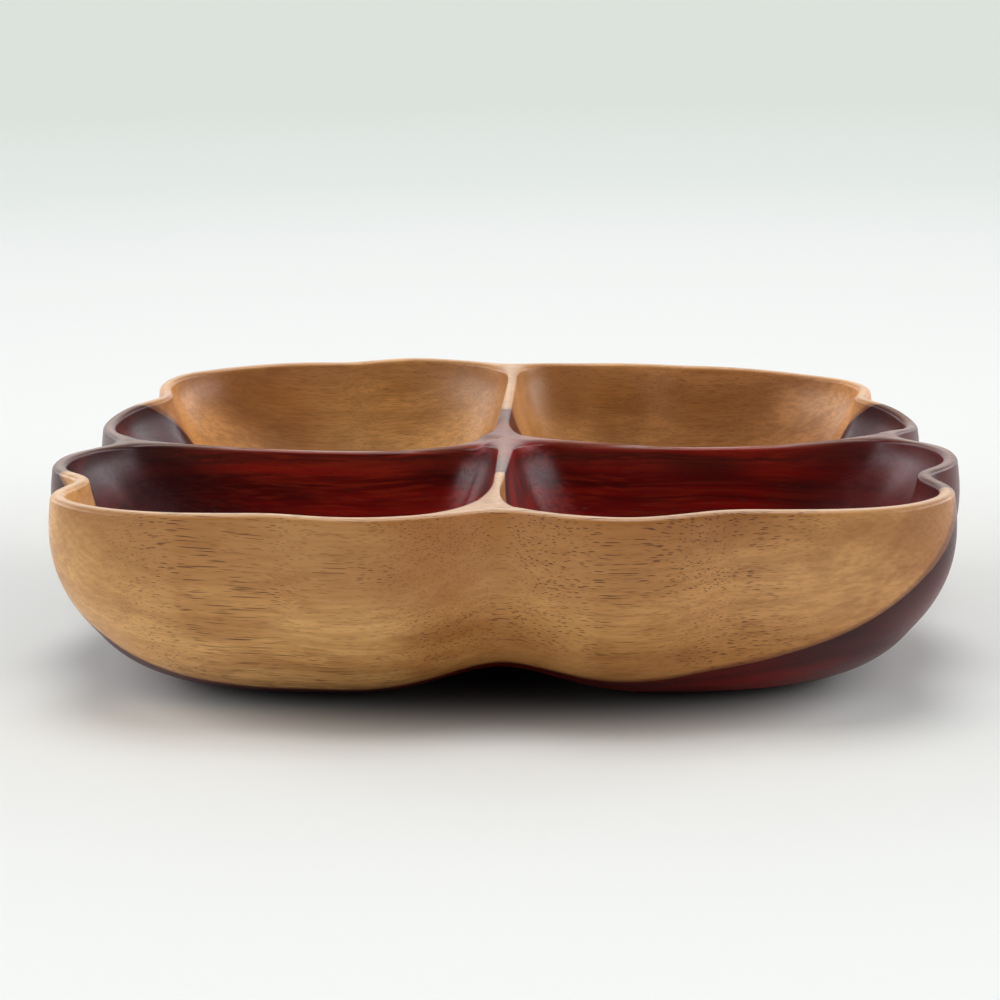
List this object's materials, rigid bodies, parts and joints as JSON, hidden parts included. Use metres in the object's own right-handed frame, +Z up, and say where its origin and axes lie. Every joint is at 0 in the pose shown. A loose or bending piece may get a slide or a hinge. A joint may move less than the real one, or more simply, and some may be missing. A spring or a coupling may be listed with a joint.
{
  "type": "divided serving bowl",
  "caption": "Shallow carved wooden serving bowl with a lobed, wavy rim, its inside parted into hollows by thin crossed dividers, standing on rounded bottoms.",
  "frame": {"origin": "middle of the bowl's length and depth, on the plane that its ground bottoms stand on", "axes": "+Z up, +X to the right along the bowl's length, +Y to the rear"},
  "size_m": [0.3016, 0.2536, 0.068],
  "materials": {
    "heartwood": "satin",
    "sapwood": "satin"
  },
  "bodies": {
    "root": {"heartwood_core": "heartwood", "front_sapwood": "sapwood", "rear_sapwood": "sapwood"}
  },
  "joints": []
}
